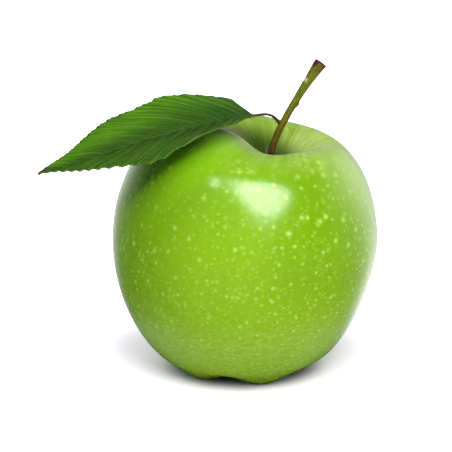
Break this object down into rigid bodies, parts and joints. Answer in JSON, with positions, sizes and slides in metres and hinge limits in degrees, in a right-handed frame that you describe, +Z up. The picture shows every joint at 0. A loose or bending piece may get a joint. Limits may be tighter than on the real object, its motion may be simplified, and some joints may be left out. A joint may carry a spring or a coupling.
{
  "type": "green apple",
  "caption": "Fresh green apple with its stem, one toothed leaf and a dried calyx underneath; eaten, or set out as fruit in a bowl or on a table.",
  "frame": {"origin": "middle of the base of the whole part's bounding box, on the surface that the fruit stands on", "axes": "+Z up. The stem leans to +X, and the leaf reaches out to -X and -Y, which is the side the picture shows."},
  "size_m": [0.0961, 0.0793, 0.0931],
  "materials": {
    "skin": "waxy green skin with pale dots",
    "stem": "olive green bark, brown at the cut",
    "leaf": "dull green, veined",
    "calyx": "dry brown"
  },
  "bodies": {
    "root": {"fruit": "skin", "stem": "stem", "leaf": "leaf", "calyx": "calyx"}
  },
  "joints": []
}
